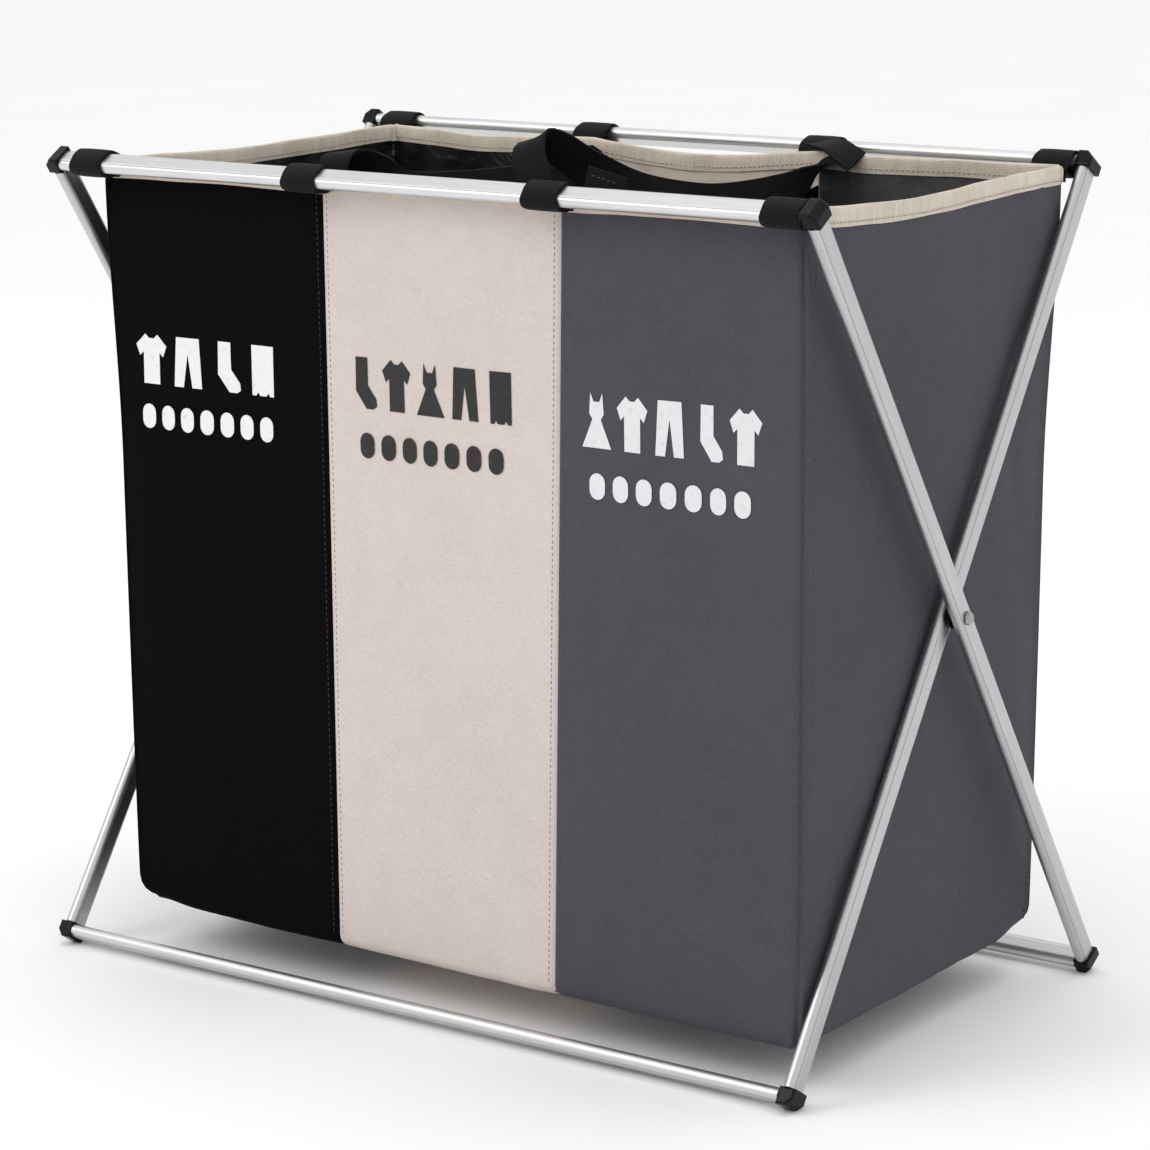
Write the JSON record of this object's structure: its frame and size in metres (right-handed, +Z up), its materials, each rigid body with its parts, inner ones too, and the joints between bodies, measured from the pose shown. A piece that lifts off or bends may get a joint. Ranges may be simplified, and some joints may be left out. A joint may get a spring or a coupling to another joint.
{
  "type": "folding laundry sorter",
  "caption": "Folding laundry sorter: an open fabric bag with side-by-side compartments, hung by webbing loops between two crossed tube frames that turn on side pivots.",
  "frame": {"origin": "on the floor, under the middle of the open sorter", "axes": "+X to the right along the rails as seen from the front, +Y from the front to the rear, +Z up"},
  "size_m": [0.6354, 0.3784, 0.5923],
  "materials": {
    "frame_tube": "satin anodised",
    "corner_plastic": "glossy black moulded",
    "screw_steel": "zinc plated",
    "black_fabric": "coated polyester weave, slightly shiny inside",
    "cream_fabric": "matt polyester weave",
    "grey_fabric": "matt polyester weave",
    "binding_tape": "ribbed cotton tape",
    "webbing": "herringbone webbing"
  },
  "bodies": {
    "front_frame": {"elbow_bottom_left_a": "corner_plastic", "elbow_bottom_right_a": "corner_plastic", "elbow_top_left_a": "corner_plastic", "elbow_top_right_a": "corner_plastic", "front_loop_1": "webbing", "front_loop_2": "webbing", "front_loop_3": "webbing", "front_loop_4": "webbing", "leg_left_a": "frame_tube", "leg_right_a": "frame_tube", "rail_front_top": "frame_tube", "rail_rear_bottom": "frame_tube"},
    "rear_frame": {"elbow_bottom_left_b": "corner_plastic", "elbow_bottom_right_b": "corner_plastic", "elbow_top_left_b": "corner_plastic", "elbow_top_right_b": "corner_plastic", "leg_left_b": "frame_tube", "leg_right_b": "frame_tube", "rail_front_bottom": "frame_tube", "rail_rear_top": "frame_tube", "rear_loop_1": "webbing", "rear_loop_2": "webbing", "rear_loop_3": "webbing", "rear_loop_4": "webbing"},
    "pivot": {"pivot_nut_left": "screw_steel", "pivot_nut_right": "screw_steel", "pivot_screw_left": "screw_steel", "pivot_screw_right": "screw_steel", "pivot_washer_left": "corner_plastic", "pivot_washer_right": "corner_plastic"},
    "bag": {"bottom_panel_left": "black_fabric", "bottom_panel_middle": "cream_fabric", "bottom_panel_right": "grey_fabric", "carrying_strap_left": "webbing", "carrying_strap_right": "webbing", "divider_left": "black_fabric", "divider_right": "black_fabric", "front_binding": "binding_tape", "front_panel_left": "black_fabric", "front_panel_middle": "cream_fabric", "front_panel_right": "grey_fabric", "rear_binding": "binding_tape", "rear_panel_left": "black_fabric", "rear_panel_middle": "cream_fabric", "rear_panel_right": "grey_fabric", "side_binding_left": "binding_tape", "side_binding_right": "binding_tape", "side_panel_left": "black_fabric", "side_panel_right": "grey_fabric"}
  },
  "joints": [
    {"name": "fold", "type": "hinge", "parent": "front_frame", "child": "rear_frame", "pos_m": [0, 0, 0.28319], "axis": [1, 0, 0], "range_deg": [0, 60], "deforming": ["bottom_panel_left", "bottom_panel_middle", "bottom_panel_right", "carrying_strap_left", "carrying_strap_right", "divider_left", "divider_right", "front_binding", "front_panel_left", "front_panel_middle", "front_panel_right", "rear_binding", "rear_panel_left", "rear_panel_middle", "rear_panel_right", "side_binding_left", "side_binding_right", "side_panel_left", "side_panel_right"]},
    {"name": "pivot_turn", "type": "hinge", "parent": "front_frame", "child": "pivot", "pos_m": [0, 0, 0.28319], "axis": [1, 0, 0], "range_deg": [0, 30]},
    {"name": "bag_rise", "type": "slide", "parent": "pivot", "child": "bag", "axis": [0, 0, 1], "range_m": [0, 0.0525]}
  ],
  "couplings": [
    {"joint": "pivot_turn", "follows": "fold", "ratio": 0.5},
    {"joint": "bag_rise", "follows": "fold", "m_per_rad": 0.05}
  ]
}
